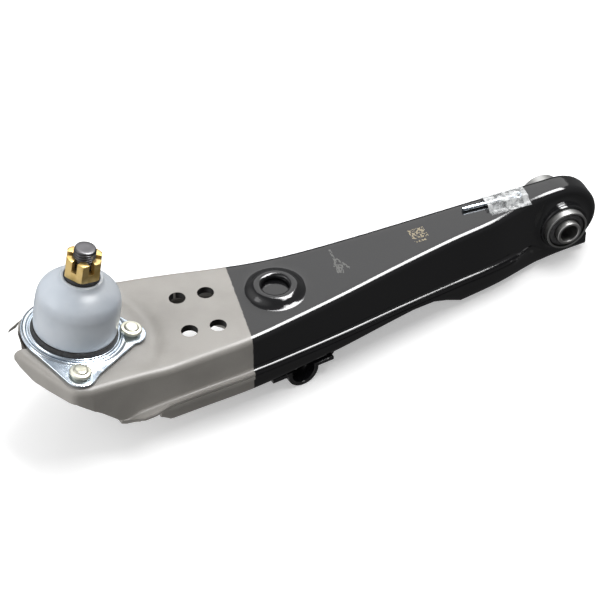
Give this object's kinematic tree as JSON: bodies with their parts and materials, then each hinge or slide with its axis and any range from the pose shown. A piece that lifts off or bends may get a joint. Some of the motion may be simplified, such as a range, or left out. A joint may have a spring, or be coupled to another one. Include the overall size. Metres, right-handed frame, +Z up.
{
  "type": "suspension control arm",
  "caption": "Boxed pressed-steel lower control arm with a rubber pivot bush at one end and a riveted ball joint with castle nut and dust boot at the other.",
  "frame": {"origin": "centre of the pivot bush's inner sleeve", "axes": "+Y along the pivot bolt, +X from the ball joint towards the pivot along the arm, +Z up, the side the ball stud stands out of"},
  "size_m": [0.4697, 0.1224, 0.1507],
  "materials": {
    "arm_paint": "gloss black baked enamel, grey primer at the outboard end",
    "bare_steel": "turned and pressed steel, oiled",
    "zinc": "bright zinc plate",
    "yellow_zinc": "yellow chromate zinc plate",
    "dark_steel": "phosphated forged steel",
    "boot_plastic": "translucent white moulded plastic",
    "bearing_plastic": "moulded acetal",
    "rubber": "moulded black rubber",
    "tape": "clear film"
  },
  "bodies": {
    "arm": {"upper_stamping": "arm_paint", "lower_stamping": "arm_paint", "strut_doubler": "arm_paint", "stop_bracket": "arm_paint", "bracket_welds": "arm_paint", "bush_welds": "arm_paint", "bush_outer_sleeve": "bare_steel", "bush_rubber": "rubber", "ball_joint_plate": "zinc", "ball_joint_cup": "dark_steel", "upper_bearing": "bearing_plastic", "lower_bearing": "bearing_plastic", "preload_spring": "bare_steel", "cup_cover": "bare_steel", "grease_plug": "zinc", "flange_rivets": "yellow_zinc", "boot_retaining_ring": "rubber", "dust_boot": "boot_plastic", "cotter_pin": "bare_steel", "shipping_tape": "tape"},
    "bush_core": {"bush_inner_sleeve": "bare_steel"},
    "liner": {"ball_liner": "bearing_plastic"},
    "seal": {"boot_seal_lip": "rubber"},
    "stud": {"ball_stud": "dark_steel", "castle_nut": "yellow_zinc"}
  },
  "joints": [
    {"name": "bush_twist", "type": "hinge", "parent": "arm", "child": "bush_core", "pos_m": [0, 0, 0], "axis": [0, 1, 0], "range_deg": [-25, 25], "stiffness_Nm_per_rad": 30, "deforming": ["bush_rubber"]},
    {"name": "stud_swing_fore_aft", "type": "hinge", "parent": "arm", "child": "liner", "pos_m": [-0.39261, -0.031, 0.03589], "axis": [0.9858, 0, -0.168], "range_deg": [-18, 18], "deforming": ["dust_boot"]},
    {"name": "stud_swing_in_out", "type": "hinge", "parent": "liner", "child": "seal", "pos_m": [-0.39261, -0.031, 0.03589], "axis": [0, 1, 0], "range_deg": [-18, 18], "deforming": ["dust_boot"]},
    {"name": "stud_turn", "type": "hinge", "parent": "seal", "child": "stud", "pos_m": [-0.39261, -0.031, 0.03589], "axis": [0.168, 0, 0.9858], "continuous": true}
  ]
}
